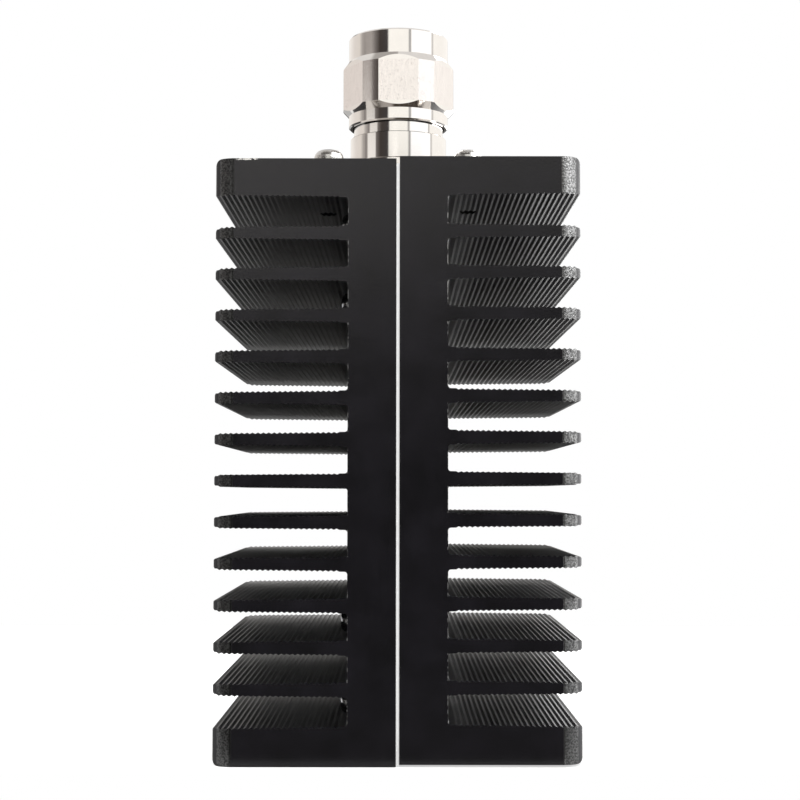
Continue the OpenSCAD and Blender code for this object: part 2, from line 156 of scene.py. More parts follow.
# Where each share holds, as (heights, left end, right end, softness), in degrees round the room
FRONT_AND_SIDES = [(FRONT_HEIGHTS, -55, 60, 12), (SIDE_HEIGHTS, 50, 104, 8), (SIDE_HEIGHTS, -104, -50, 8)]
BACKS = [(RIGHT_BACK_HEIGHTS, 165, 220, 5), (LEFT_BACK_HEIGHTS, -220, -165, 5)]
# The ceiling's tone, and between which heights the walls pass into it
CEILING = (0.78, 0.76, 0.74)
CEILING_STARTS, CEILING_FULL = 24, 40
# Cards, as (left end, right end, bottom, top, colour, softness of the ends, softness of bottom and top).
# On the left wall: a pale strip, and a dark gap beside it
WALL_CARDS = [
    (-79, -56, 9, 13.3, (0.95, 0.92, 0.88), 1.5, 1.5),
    (-87, -82, 9, 14.5, (0.25, 0.23, 0.22), 1.5, 1.5),
]
# On the ceiling: a dark cloth over the table's front, and a grey part on the left
CEILING_CARDS = [
    (-85, 85, 40, 80, (0.06, 0.05, 0.04), 4, 3),
    (-150, -25, 62, 100, (0.42, 0.40, 0.38), 10, 3),
]
# Light: strips low behind the object, a slit over the camera, the lamp up on the front right that makes the
# blasted corner glint, the three parts of a tall soft box on the right, and a weak card on the left
LIGHT_CARDS = [
    (165, 177, -2.5, 1.8, (1.6, 1.6, 1.6), 1.5, 0.8),
    (-177, -165, -2.5, 1.5, (0.2, 0.2, 0.2), 1.5, 0.8),
    (-14, -1, 8.8, 10.4, (3.4, 3.3, 3.2), 3, 0.4),
    (36, 79, 24, 50, (15.0, 15.0, 15.0), 4, 3),
    (100, 164, -60, -6, (3.8, 3.8, 3.8), 5, 2),
    (100, 164, -6, 8, (7.0, 7.0, 7.0), 5, 2),
    (95, 164, 20, 45, (7.5, 7.5, 7.5), 5, 2),
    (-164, -100, -60, 8, (0.50, 0.50, 0.50), 5, 2),
]
WHITE = (1, 1, 1, 1)


def build_room():
    """World: pure white where the camera looks past the object, and the room's own tones in reflections."""
    world = bpy.data.worlds.new("room")
    bpy.context.scene.world = world
    world.use_nodes = True
    tree = world.node_tree
    tree.nodes.clear()
    way = add_node(tree, "ShaderNodeTexCoord").outputs["Generated"]
    axes = add_node(tree, "ShaderNodeSeparateXYZ", {0: way})
    towards_camera = add_math(tree, "MULTIPLY", axes.outputs["Y"], -1)
    angle = add_math(tree, "ARCTAN2", axes.outputs["X"], towards_camera)
    turn = add_math(tree, "MULTIPLY_ADD", angle, 0.5 / math.pi, 0.5)
    rise = add_math(tree, "MULTIPLY_ADD", add_math(tree, "ARCSINE", axes.outputs["Z"]), 1 / math.pi, 0.5)
    degrees = add_math(tree, "MULTIPLY", angle, 180 / math.pi)
    height = add_math(tree, "MULTIPLY_ADD", rise, 180, -90)

    def window(value, low, high, soft):
        """Soft-edged 0 to 1 window of a value in degrees."""
        up = step_between(tree, value, low - soft, low + soft)
        past = step_between(tree, value, high - soft, high + soft)
        return add_math(tree, "MULTIPLY", up, add_math(tree, "SUBTRACT", 1, past))

    def card(tones, left, right, bottom, top, colour, soft_ends, soft_height):
        """Lays a card of one colour over the room's tones."""
        across = window(degrees, left, right, soft_ends)
        mask = add_math(tree, "MULTIPLY", across, window(height, bottom, top, soft_height))
        return mix_colour(tree, mask, tones, colour)

    def shade(tones, heights, left, right, soft):
        """Multiplies the tones between two directions by a share that goes by height."""
        share = ramp(tree, rise, [(level / 180 + 0.5, value) for level, value in heights])
        shaded = mix_colour(tree, 1.0, tones, share, "MULTIPLY")
        return mix_colour(tree, window(degrees, left, right, soft), tones, shaded)

    tones = ramp(tree, turn, [(direction / 360 + 0.5, colour) for direction, colour in ROOM])
    for part in FRONT_AND_SIDES:
        tones = shade(tones, *part)
    for part in WALL_CARDS:
        tones = card(tones, *part)
    given = {0: height, 1: CEILING_STARTS, 2: CEILING_FULL}
    overhead = add_node(tree, "ShaderNodeMapRange", given).outputs[0]
    tones = mix_colour(tree, overhead, tones, CEILING)
    for part in CEILING_CARDS:
        tones = card(tones, *part)
    for part in BACKS:
        tones = shade(tones, *part)
    for part in LIGHT_CARDS:
        tones = card(tones, *part)
    path = add_node(tree, "ShaderNodeLightPath")
    room = add_node(tree, "ShaderNodeBackground", {"Color": WHITE, "Strength": 1})
    shine = add_node(tree, "ShaderNodeBackground", {"Color": tones, "Strength": 1})
    white = add_node(tree, "ShaderNodeBackground", {"Color": WHITE, "Strength": 1})
    mirrored = add_math(tree, "MAXIMUM", path.outputs["Is Glossy Ray"], path.outputs["Is Transmission Ray"])
    lit = add_node(tree, "ShaderNodeMixShader", {0: mirrored, 1: room.outputs[0], 2: shine.outputs[0]})
    given = {0: path.outputs["Is Camera Ray"], 1: lit.outputs[0], 2: white.outputs[0]}
    seen = add_node(tree, "ShaderNodeMixShader", given)
    add_node(tree, "ShaderNodeOutputWorld", {"Surface": seen.outputs[0]})


FLOOR_HALF_WIDTH = 0.22
FLOOR_FRONT = -0.036
FLOOR_BACK = 0.25
FLOOR_COLOUR = (0.85, 0.85, 0.84, 1)
FLOOR_GLOW = 0.55


def build_floor():
    """A level floor at z = 0, white to the camera but for the share of light that the object blocks."""
    mesh = bpy.data.meshes.new("floor")
    corners = [(-FLOOR_HALF_WIDTH, FLOOR_FRONT, 0), (FLOOR_HALF_WIDTH, FLOOR_FRONT, 0),
               (FLOOR_HALF_WIDTH, FLOOR_BACK, 0), (-FLOOR_HALF_WIDTH, FLOOR_BACK, 0)]
    mesh.from_pydata(corners, [], [(0, 1, 2, 3)])
    floor = bpy.data.objects.new("floor", mesh)
    bpy.context.scene.collection.objects.link(floor)
    material = bpy.data.materials.new("floor")
    material.use_nodes = True
    tree = material.node_tree
    tree.nodes.clear()
    path = add_node(tree, "ShaderNodeLightPath")
    glow_strength = add_math(tree, "MULTIPLY", path.outputs["Is Camera Ray"], FLOOR_GLOW)
    matt = add_node(tree, "ShaderNodeBsdfDiffuse", {"Color": FLOOR_COLOUR})
    glow = add_node(tree, "ShaderNodeEmission", {"Color": WHITE, "Strength": glow_strength})
    both = add_node(tree, "ShaderNodeAddShader", {0: matt.outputs[0], 1: glow.outputs[0]})
    add_node(tree, "ShaderNodeOutputMaterial", {"Surface": both.outputs[0]})
    mesh.materials.append(material)


LAMP_SIZE = 0.35
LAMP_TARGET = (0, 0, 0.06)


def add_lamp(name, place, power):
    """
    A square area lamp at a place in metres, with a power in watts, turned to the block's middle. In mirrors
    the room's own cards stand for it.
    """
    data = bpy.data.lights.new(name, "AREA")
    data.shape = "SQUARE"
    data.size = LAMP_SIZE
    data.energy = power
    lamp = bpy.data.objects.new(name, data)
    lamp.location = place
    way = np.array(LAMP_TARGET) - np.array(place)
    tilt = math.atan2(way[2], math.hypot(way[0], way[1]))
    lamp.rotation_euler = (math.pi / 2 + tilt, 0, math.atan2(way[1], way[0]) - math.pi / 2)
    lamp.visible_glossy = False
    bpy.context.scene.collection.objects.link(lamp)


place_camera()
build_room()
build_floor()
add_lamp("lamp_right", (0.60, -0.25, 0.20), 1.5)
add_lamp("lamp_left", (-0.60, 0.10, 0.20), 0.3)

# Heat sink halves
# Two lengths of one black anodised aluminium extrusion. The die leaves the fins' fine ribs; the front and
# back are milled flat, and the four upright corners are blasted, which leaves a coarse bright grain.

BLACK = (0.0042, 0.0036, 0.0054)
# Dark grey laid over the grain at its inner edge, and as painted shade towards the right half's foot
DARK_EDGE_AND_SHADE_GRAIN = (0.02, 0.02, 0.02)
BARE_METAL = (0.70, 0.69, 0.67)
# What differs between the halves: the blasted grain's grey, which is darker on the left half as painted
# shade for its weaker light, the height by which one is clamped above the other, how bright its burr is,
# the radius of its holes for the clamp screws, how far the grain is darkened at its inner edge, and how
# far painted shade darkens it towards the foot
LEFT_HALF = {"grain": 0.1736, "lift": 0, "burr": 0.25, "hole": 0.0020, "stain": 0.75, "foot_shade": 0}
RIGHT_HALF = {"grain": 0.31, "lift": 0.0004, "burr": 0.9, "hole": 0.00125, "stain": 0.1, "foot_shade": 0.42}
# Places on a half, as distances from its two middle planes or from the floor
CORNER_RADIUS = 0.0035
WEB_SIDE = 0.008275
FIN_PITCH = 0.00683
SLAB_THICK = 0.0065
MIDDLE_GAP = 0.05
CLAMP_ROW = 0.015
CLAMP_OUTER = 0.041145
CLAMP_INNER = 0.02732
# How near to a face or an edge a point counts as on it
FACE_DEPTH = 0.00002
SLAB_MARGIN = 0.0001
TOP_EDGE = 0.00030
WEB_SKIN = 0.0003
# A fin takes this share of the pitch on either side of its own middle
FIN_SHARE = 0.18
# Where a mask begins and where it is full: the corner and its darker inner edge past the start of the
# round, the grain behind the milled face, the burr inside the web's side, the painted shade at the foot
# above the floor, and the rubbed ring outside its hole's edge
CORNER_STARTS, CORNER_FULL = 0.00005, 0.00025
STAIN_STARTS, STAIN_FULL = 0.0008, 0.0003
GRAIN_STARTS, GRAIN_FULL = 0.0014, 0.0008
BURR_STARTS, BURR_FULL = 0.00012, 0.00006
FOOT_STARTS, FOOT_FULL = 0.012, 0.007
RING_STARTS, RING_FULL = 0.00045, 0.0002
# The two soft ends of the knocked specks on the left half's top edge
SPECKS_RIGHT = (-0.0228, -0.0236)
SPECKS_LEFT = (-0.0272, -0.0266)
# Cells per metre of the noises, and the noise values from which a mask goes from none to full
CLOUD_CELLS = 160
FINE_CELLS = 2600
GRAIN_CELLS = 3500
BURR_CELLS, BURR_VALUES = 1500, (0.50, 0.56)
SPECK_CELLS, SPECK_VALUES = 1100, (0.47, 0.53)
RUBBED_CELLS, RUBBED_VALUES = 900, (0.48, 0.55)
# Roughness of the ribs as the die leaves them, and what milling, blasting, the grain and the cloud add
RIB_ROUGH = 0.36
MILLING_ADDS = -0.20
BLASTING_ADDS = 0.20
GRAIN_ADDS = -0.17
CLOUD_ADDS = 0.08
# Heights of the coarse and of the fine grain in the bump
GRAIN_HEIGHT = 0.5
FINE_HEIGHT = 0.12


def fill_material(name, **sockets):
    """A material with one Principled shader and its constant values."""
    material = bpy.data.materials.new(name)
    material.use_nodes = True
    tree = material.node_tree
    tree.nodes.clear()
    shader = add_node(tree, "ShaderNodeBsdfPrincipled")
    add_node(tree, "ShaderNodeOutputMaterial", {"Surface": shader.outputs[0]})
    for key, value in sockets.items():
        shader.inputs[key.replace("_", " ")].default_value = value
    return material, tree, shader


def feed(tree, shader, **sockets):
    """Links outputs to the shader's sockets."""
    for key, value in sockets.items():
        tree.links.new(value, shader.inputs[key.replace("_", " ")])


def noise(tree, point, scale, detail=2.0, roughness=0.6):
    """Noise value at a number of cells per metre."""
    given = {"Vector": point, "Scale": scale, "Detail": detail, "Roughness": roughness}
    return add_node(tree, "ShaderNodeTexNoise", given).outputs[0]


def start_group(name, inputs, outputs):
    """An empty shader node group with its sockets; returns the tree, its inputs and its output node."""
    group = bpy.data.node_groups.new(name, "ShaderNodeTree")
    group.interface.new_socket("Point", in_out="INPUT", socket_type="NodeSocketVector")
    for socket in inputs:
        group.interface.new_socket(socket, in_out="INPUT", socket_type="NodeSocketFloat")
    for socket in outputs:
        group.interface.new_socket(socket, in_out="OUTPUT", socket_type="NodeSocketFloat")
    given = group.nodes.new("NodeGroupInput").outputs
    result = group.nodes.new("NodeGroupOutput")
    return group, given, result


def build_grain_group():
    """Group: a slow cloud and a fine grain over the surface, each by its number of cells per metre."""
    group, given, result = start_group("surface_grain", ("Cloud Cells", "Grain Cells"), ("Cloud", "Grain"))
    cloud = noise(group, given["Point"], given["Cloud Cells"], 4.0)
    grain = noise(group, given["Point"], given["Grain Cells"])
    group.links.new(cloud, result.inputs["Cloud"])
    group.links.new(grain, result.inputs["Grain"])
    return group


grain_group = build_grain_group()


def use_group(tree, group, point, **inputs):
    """Outputs of a group placed in a material, with its values."""
    node = add_node(tree, "ShaderNodeGroup", node_tree=group)
    tree.links.new(point, node.inputs["Point"])
    for key, value in inputs.items():
        node.inputs[key.replace("_", " ")].default_value = value
    return node.outputs


def all_of(tree, *masks):
    """Product of masks."""
    result = masks[0]
    for mask in masks[1:]:
        result = add_math(tree, "MULTIPLY", result, mask)
    return result


def between(tree, value, low, high):
    """Mask of the places where a value lies between two bounds."""
    above = add_math(tree, "GREATER_THAN", value, low)
    return add_math(tree, "MULTIPLY", above, add_math(tree, "LESS_THAN", value, high))


def offset(tree, value, centre):
    """Distance of a value from a centre."""
    return add_math(tree, "ABSOLUTE", add_math(tree, "SUBTRACT", value, centre))


def darker(colour, share):
    """The colour times a share."""
    return tuple(share * value for value in colour)


def burr_mask(tree, point, places, half, top):
    """The saw's burr: short dashes on the web's front edges, between the fins."""
    edge = all_of(tree, places["milled"],
                  step_between(tree, places["across"], WEB_SIDE - BURR_STARTS, WEB_SIDE - BURR_FULL),
                  add_math(tree, "LESS_THAN", places["across"], WEB_SIDE + FACE_DEPTH))
    turn = add_math(tree, "DIVIDE", places["from_middle"], FIN_PITCH)
    in_gap = add_math(tree, "GREATER_THAN", offset(tree, add_math(tree, "FRACT", turn), 0.5), FIN_SHARE)
    off_slabs = between(tree, places["height"], SLAB_THICK + SLAB_MARGIN, top - SLAB_THICK - SLAB_MARGIN)
    dashes = step_between(tree, noise(tree, point, BURR_CELLS), *BURR_VALUES)
    return add_math(tree, "MULTIPLY", all_of(tree, edge, in_gap, off_slabs, dashes), half["burr"])


def speck_mask(tree, point, places, top):
    """Specks where the left half's top edge was knocked."""
    top_edge = add_math(tree, "GREATER_THAN", places["height"], top - TOP_EDGE)
    knocked = step_between(tree, noise(tree, point, SPECK_CELLS, 3.0, 0.7), *SPECK_VALUES)
    near_end = step_between(tree, places["side"], *SPECKS_RIGHT)
    before_corner = step_between(tree, places["side"], *SPECKS_LEFT)
    return all_of(tree, places["milled"], top_edge, knocked, near_end, before_corner)


def rubbed_mask(tree, point, places, half):
    """Rings that the clamp screws have rubbed round their holes, on the web's fin side."""
    level = add_math(tree, "ABSOLUTE", places["from_middle"])
    nearest = add_math(tree, "MINIMUM", offset(tree, level, CLAMP_OUTER), offset(tree, level, CLAMP_INNER))
    from_level = add_math(tree, "POWER", nearest, 2)
    from_row = add_math(tree, "POWER", add_math(tree, "SUBTRACT", places["depth"], CLAMP_ROW), 2)
    from_hole = add_math(tree, "SQRT", add_math(tree, "ADD", from_row, from_level))
    return all_of(tree, between(tree, places["across"], WEB_SIDE - WEB_SKIN, WEB_SIDE + WEB_SKIN),
                  step_between(tree, from_hole, half["hole"] + RING_STARTS, half["hole"] + RING_FULL),
                  step_between(tree, noise(tree, point, RUBBED_CELLS), *RUBBED_VALUES))


def black_anodised(name, half, tip, face, top):
    """
    Black anodised skin of one half, whose fin tips, milled face and top lie at the given places. Masks by
    place tell the milled faces, the ribs and the blasted corners apart, and bare metal shows through in the
    burr, the knocked specks and the rubbed rings.
    """
    material, tree, shader = fill_material(name)
    point = add_node(tree, "ShaderNodeTexCoord").outputs["Object"]
    axes = add_node(tree, "ShaderNodeSeparateXYZ", {0: point}).outputs
    across = add_math(tree, "ABSOLUTE", axes["X"])
    depth = add_math(tree, "ABSOLUTE", axes["Y"])
    milled = add_math(tree, "GREATER_THAN", depth, face - FACE_DEPTH)
    from_middle = add_math(tree, "SUBTRACT", axes["Z"], MIDDLE_GAP + half["lift"])
    places = {"side": axes["X"], "across": across, "depth": depth, "height": axes["Z"], "milled": milled,
              "from_middle": from_middle}

    # The corner's round, and in it the coarse grain, which leaves the top and the fins' level sides alone
    facing = add_node(tree, "ShaderNodeNewGeometry").outputs["True Normal"]
    upwards = add_node(tree, "ShaderNodeSeparateXYZ", {0: facing}).outputs["Z"]
    upright = add_math(tree, "LESS_THAN", add_math(tree, "ABSOLUTE", upwards), 0.5)
    start = tip - CORNER_RADIUS
    corner = all_of(tree, upright, step_between(tree, across, start + CORNER_STARTS, start + CORNER_FULL),
                    add_math(tree, "GREATER_THAN", depth, face - CORNER_RADIUS))
    coarse = all_of(tree, corner, step_between(tree, depth, face - GRAIN_STARTS, face - GRAIN_FULL))

    # Colour: the skin, the grain, darker at its inner edge and with painted shade at the foot, and bare
    # metal
    surface = use_group(tree, grain_group, point, Cloud_Cells=CLOUD_CELLS, Grain_Cells=FINE_CELLS)
    grains = noise(tree, point, GRAIN_CELLS, 1.0, 0.5)
    skin = ramp(tree, surface["Cloud"], [(0.3, darker(BLACK, 0.6)), (0.7, darker(BLACK, 1.6))])
    # The grain's grey for each half: the left half's lower grey is painted shade for its weaker light
    blasted = ramp(tree, grains, [(0.38, 0.4 * half["grain"]), (0.62, 1.1 * half["grain"])])
    # The grain is darker at its inner edge, most on the left half
    inner_edge = step_between(tree, across, start + STAIN_STARTS, start + STAIN_FULL)
    # Painted shade: the right half's grain darkens towards the floor
    foot_shade = step_between(tree, axes["Z"], FOOT_STARTS, FOOT_FULL)
    dark_edge_and_foot_shade = add_math(tree, "MAXIMUM", add_math(tree, "MULTIPLY", inner_edge, half["stain"]),
                       add_math(tree, "MULTIPLY", foot_shade, half["foot_shade"]))
    blasted = mix_colour(tree, dark_edge_and_foot_shade, blasted, DARK_EDGE_AND_SHADE_GRAIN)
    bare = add_math(tree, "MAXIMUM", burr_mask(tree, point, places, half, top),
                    speck_mask(tree, point, places, top))
    bare = add_math(tree, "MAXIMUM", bare, rubbed_mask(tree, point, places, half))
    colour = mix_colour(tree, coarse, skin, blasted)
    colour = mix_colour(tree, bare, colour, BARE_METAL)

    # Milling smooths the faces and blasting roughens the corners, whose single grains glint
    rough = add_math(tree, "MULTIPLY_ADD", milled, MILLING_ADDS, RIB_ROUGH)
    rough = add_math(tree, "MULTIPLY_ADD", corner, BLASTING_ADDS, rough)
    rough = add_math(tree, "MULTIPLY_ADD", coarse, GRAIN_ADDS, rough)
    rough = add_math(tree, "MULTIPLY_ADD", surface["Cloud"], CLOUD_ADDS, rough)
    lumps = add_math(tree, "MULTIPLY_ADD", add_math(tree, "MULTIPLY", grains, coarse), GRAIN_HEIGHT,
                     add_math(tree, "MULTIPLY", surface["Grain"], FINE_HEIGHT))
    bump = add_node(tree, "ShaderNodeBump", {"Height": lumps, "Strength": 0.8, "Distance": 0.00010})
    metal = add_math(tree, "MAXIMUM", coarse, bare)
    feed(tree, shader, Base_Color=colour, Metallic=metal, Roughness=rough, Normal=bump.outputs[0])
    return material


def dress(material, *names):
    """Gives CAD nodes their material."""
    for name in names:
        nodes[name].data.materials.clear()
        nodes[name].data.materials.append(material)


fin_tip, milled_face, right_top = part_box("heatsink_right")[1]
left_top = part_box("heatsink_left")[1].z
dress(black_anodised("black_anodised_left", LEFT_HALF, fin_tip, milled_face, left_top), "heatsink_left")
dress(black_anodised("black_anodised_right", RIGHT_HALF, fin_tip, milled_face, right_top), "heatsink_right")

# Film resistor
# A ceramic film resistor on a plated copper flange, screwed to the right half inside the block. Its tab is
# silver plated strip and is soldered to the connector pin's tail; its cover is a glued ceramic plate.

FLANGE_COPPER = (0.74, 0.40, 0.25)
WORN_COPPER = (0.86, 0.55, 0.38)
CERAMIC = (0.86, 0.86, 0.82)
SOILED_CERAMIC = (0.55, 0.53, 0.48)
TAB_SILVER = (0.82, 0.81, 0.79)
WORN_SILVER = (0.76, 0.48, 0.34)
# Metals: cells of fine grain, worn patches and tool marks to a cell of cloud, the darkest tarnish as a
# share of the colour, and what the cloud and the wear add to the roughness
METAL_GRAIN, METAL_PATCHES, METAL_MARKS = 9, 6, 4
METAL_TARNISH = 0.86
METAL_CLOUD_ADDS = 0.12
METAL_WEAR_ADDS = 0.10
# The same for insulation, whose edges are soiled and as rough as the rest
PALE_GRAIN, PALE_PATCHES, PALE_MARKS = 7, 5, 3
PALE_TARNISH = 0.93
PALE_CLOUD_ADDS = 0.16


def build_wear_group():
    """Group: worn edges, where a rounded normal leaves the true one, broken up into patches by a noise."""
    group, given, result = start_group("edge_wear", ("Reach", "Patch Cells", "Amount"), ("Worn",))
    rounded = add_node(group, "ShaderNodeBevel", {"Radius": given["Reach"]}, samples=4).outputs[0]
    true = add_node(group, "ShaderNodeNewGeometry").outputs["Normal"]
    along = add_node(group, "ShaderNodeVectorMath", {0: rounded, 1: true}, operation="DOT_PRODUCT")
    turned = step_between(group, add_math(group, "SUBTRACT", 1, along.outputs["Value"]), 0.01, 0.15)
    patches = step_between(group, noise(group, given["Point"], given["Patch Cells"], 3.0), 0.42, 0.62)
    worn = add_math(group, "MULTIPLY", add_math(group, "MULTIPLY", turned, patches), given["Amount"])
    group.links.new(worn, result.inputs["Worn"])
    return group


wear_group = build_wear_group()


def tool_marks(tree, point, cells, streak):
    """Noise whose cells are squeezed or stretched along the axes by a streak."""
    stretched = add_node(tree, "ShaderNodeMapping", {"Vector": point, "Scale": streak}).outputs[0]
    return noise(tree, stretched, cells)


def worked_metal(name, colour, worn_colour, rough, cells, streak=(1, 1, 1)):
    """
    Plated or bare metal: a slow cloud of tarnish, tool marks stretched along the given axes, and worn edges
    where the colour below shows in patches.
    """
    material, tree, shader = fill_material(name, Metallic=1.0)
    point = add_node(tree, "ShaderNodeTexCoord").outputs["Object"]
    surface = use_group(tree, grain_group, point, Cloud_Cells=cells, Grain_Cells=METAL_GRAIN * cells)
    patches = METAL_PATCHES * cells
    worn = use_group(tree, wear_group, point, Reach=0.00012, Patch_Cells=patches, Amount=0.7)["Worn"]
    tarnish = ramp(tree, surface["Cloud"], [(0.3, darker(colour, METAL_TARNISH)), (0.7, colour)])
    shade = mix_colour(tree, worn, tarnish, worn_colour)
    smooth = rough - METAL_CLOUD_ADDS / 2
    value = add_math(tree, "MULTIPLY_ADD", surface["Cloud"], METAL_CLOUD_ADDS, smooth)
    value = add_math(tree, "MULTIPLY_ADD", worn, METAL_WEAR_ADDS, value)
    lumps = add_math(tree, "ADD", tool_marks(tree, point, METAL_MARKS * cells, streak), surface["Grain"])
    bump = add_node(tree, "ShaderNodeBump", {"Height": lumps, "Strength": 0.15, "Distance": 0.00001})
    feed(tree, shader, Base_Color=shade, Roughness=value, Normal=bump.outputs[0])
    return material


def pale_insulation(name, colour, soiled, rough, cells, depth, streak=(1, 1, 1)):
    """Ceramic, PTFE or rubber: a cloudy colour, soiled along its edges, with the grain of its making."""
    material, tree, shader = fill_material(name)
    point = add_node(tree, "ShaderNodeTexCoord").outputs["Object"]
    surface = use_group(tree, grain_group, point, Cloud_Cells=cells, Grain_Cells=PALE_GRAIN * cells)
    patches = PALE_PATCHES * cells
    dirt = use_group(tree, wear_group, point, Reach=0.00015, Patch_Cells=patches, Amount=0.5)["Worn"]
    shade = ramp(tree, surface["Cloud"], [(0.3, darker(colour, PALE_TARNISH)), (0.7, colour)])
    shade = mix_colour(tree, dirt, shade, soiled)
    smooth = rough - PALE_CLOUD_ADDS / 2
    value = add_math(tree, "MULTIPLY_ADD", surface["Cloud"], PALE_CLOUD_ADDS, smooth)
    lumps = add_math(tree, "ADD", tool_marks(tree, point, PALE_MARKS * cells, streak), surface["Grain"])
    bump = add_node(tree, "ShaderNodeBump", {"Height": lumps, "Strength": 0.4, "Distance": depth})
    feed(tree, shader, Base_Color=shade, Roughness=value, Normal=bump.outputs[0])
    return material


copper = worked_metal("resistor_copper", FLANGE_COPPER, WORN_COPPER, rough=0.34, cells=500,
                      streak=(1, 1, 0.1))
ceramic = pale_insulation("ceramic", CERAMIC, SOILED_CERAMIC, rough=0.60, cells=800, depth=0.00002)
silver = worked_metal("tab_silver", TAB_SILVER, WORN_SILVER, rough=0.28, cells=700, streak=(1, 0.1, 1))
dress(copper, "resistor_flange")
dress(ceramic, "resistor_substrate", "resistor_cover")
dress(silver, "resistor_tab")

# Thermal pad
# A sheet of white silicone filled with ceramic powder, cut to the block's outline and clamped between the
# two halves. Only its cut edge shows, as a thin white line a little inside the faces.

PAD_WHITE = (0.98, 0.98, 0.97)
SOILED_PAD = (0.72, 0.71, 0.68)

silicone = pale_insulation("pad_silicone", PAD_WHITE, SOILED_PAD, rough=0.70, cells=700, depth=0.00003,
                           streak=(1, 1, 0.3))
dress(silicone, "thermal_pad")

# Connector body
# Turned in one piece from brass bar, with its square flange milled, and plated with bright nickel. It
# stands on the right half, which is the higher one, and carries the nut on a spigot above its collar.

NICKEL = (0.92, 0.89, 0.86)
WORN_NICKEL = (0.88, 0.80, 0.66)
# The flats' own tones: between and on the cutter's strokes, and in the pits
FLATS_DARK = (0.84, 0.795, 0.77)
FLATS_LIGHT = (0.91, 0.865, 0.84)
PIT_GREY = (0.80, 0.75, 0.72)
# Cells per metre of the turning's rings, the stains, the worn patches, the cutter's strokes and the pits,
# with the stretch of the rings and strokes and the noise values between which a pit opens
TURNED_CELLS, TURNED_STRETCH = 420, (1, 1, 40)
STAIN_CELLS = 260
PATCH_CELLS = 2200
CUTTER_CELLS, CUTTER_STRETCH = 5200, (1, 1, 0.12)
PIT_CELLS, PIT_VALUES = 2800, (0.58, 0.68)
# Roughness of clean plating, and what stains, the cutter and wear add
PLATING_ROUGH = 0.03
STAIN_ADDS = 0.08
CUTTER_ADDS = 0.05
WEAR_ADDS = 0.12
# Heights of the rings and depth of the pits in the bump
TURNED_HEIGHT = 0.5
PIT_DEPTH = 1.5


def bright_nickel(name, flats=None):
    """
    Bright nickel over turned brass: fine rings from the tool, faint stains and worn edges. Flats are given
    as (distance from the axis beyond which they lie, lowest and highest height): there the plating is
    duller, with short upright strokes of the cutter and small pits.
    """
    material, tree, shader = fill_material(name, Metallic=1.0)
    point = add_node(tree, "ShaderNodeTexCoord").outputs["Object"]
    stretch = add_node(tree, "ShaderNodeMapping", {"Vector": point, "Scale": TURNED_STRETCH})
    rings = noise(tree, stretch.outputs[0], TURNED_CELLS, 3.0)
    stain = use_group(tree, grain_group, point, Cloud_Cells=STAIN_CELLS)["Cloud"]
    worn = use_group(tree, wear_group, point, Reach=0.00010, Patch_Cells=PATCH_CELLS, Amount=0.6)["Worn"]
    colour = ramp(tree, stain, [(0.3, darker(NICKEL, 0.94)), (0.7, NICKEL)])
    rough = add_math(tree, "MULTIPLY_ADD", stain, STAIN_ADDS, PLATING_ROUGH)
    lumps = add_math(tree, "MULTIPLY", rings, TURNED_HEIGHT)
    if flats:
        beyond, low, high = flats
        axes = add_node(tree, "ShaderNodeSeparateXYZ", {0: point}).outputs
        around = add_math(tree, "POWER", axes["X"], 2)
        around = add_math(tree, "SQRT", add_math(tree, "MULTIPLY_ADD", axes["Y"], axes["Y"], around))
        milled = all_of(tree, add_math(tree, "GREATER_THAN", around, beyond),
                        between(tree, axes["Z"], low, high))
        cutter = tool_marks(tree, point, CUTTER_CELLS, CUTTER_STRETCH)
        pits = step_between(tree, noise(tree, point, PIT_CELLS), *PIT_VALUES)
        dull = ramp(tree, cutter, [(0.3, FLATS_DARK), (0.7, FLATS_LIGHT)])
        colour = mix_colour(tree, milled, colour, dull)
        colour = mix_colour(tree, all_of(tree, milled, pits), colour, PIT_GREY)
        rough = add_math(tree, "MULTIPLY_ADD", milled, CUTTER_ADDS, rough)
        cuts = add_math(tree, "SUBTRACT", cutter, add_math(tree, "MULTIPLY", pits, PIT_DEPTH))
        lumps = add_math(tree, "MULTIPLY_ADD", add_math(tree, "SUBTRACT", cuts, rings), milled, lumps)
    colour = mix_colour(tree, worn, colour, WORN_NICKEL)
    rough = add_math(tree, "MULTIPLY_ADD", worn, WEAR_ADDS, rough)
    bump = add_node(tree, "ShaderNodeBump", {"Height": lumps, "Strength": 0.20, "Distance": 0.00001})
    feed(tree, shader, Base_Color=colour, Roughness=rough, Normal=bump.outputs[0])
    return material


dress(bright_nickel("body_nickel"), "connector_body")

# Insulator and centre pin
# The insulator is turned from white PTFE and pushed into the body's bore. The pin is turned from beryllium
# copper and plated with gold, and its tail is soldered to the resistor's tab.

PTFE = (0.88, 0.88, 0.86)
SOILED_PTFE = (0.70, 0.69, 0.65)
GOLD = (0.86, 0.62, 0.24)
WORN_GOLD = (0.80, 0.72, 0.55)

ptfe = pale_insulation("ptfe", PTFE, SOILED_PTFE, rough=0.42, cells=600, depth=0.00002, streak=(1, 1, 25))
gold = worked_metal("pin_gold", GOLD, WORN_GOLD, rough=0.18, cells=600, streak=(1, 1, 30))
dress(ptfe, "connector_insulator")
dress(gold, "centre_pin")

# Coupling nut
# Turned from hexagon brass bar and plated with bright nickel, with milled flats. Its mouth has a fine inner
# thread, cut here into the merged copy of the CAD nut, whose own bore is plain.

THREAD_CREST = 0.00745
THREAD_DEPTH = 0.00049
THREAD_PITCH = 0.001058
ROWS_PER_TURN = 12
# The tooth's share of the pitch and the width of its root, before it is rounded
TOOTH_GAIN = 1.25
TOOTH_OFFSET = 0.1
# Points nearer than this are one point
MERGE = 1e-7
SHARP_ANGLE = math.radians(7)
# The flats lie beyond the plain rings' radius, between these heights
FLATS = (0.00947, 0.1148, 0.1222)


def rise(value):
    """Smooth step from 0 to 1, level at both ends: 3 t squared less 2 t cubed."""
    value = np.clip(value, 0, 1)
    return value * value * (3 - 2 * value)


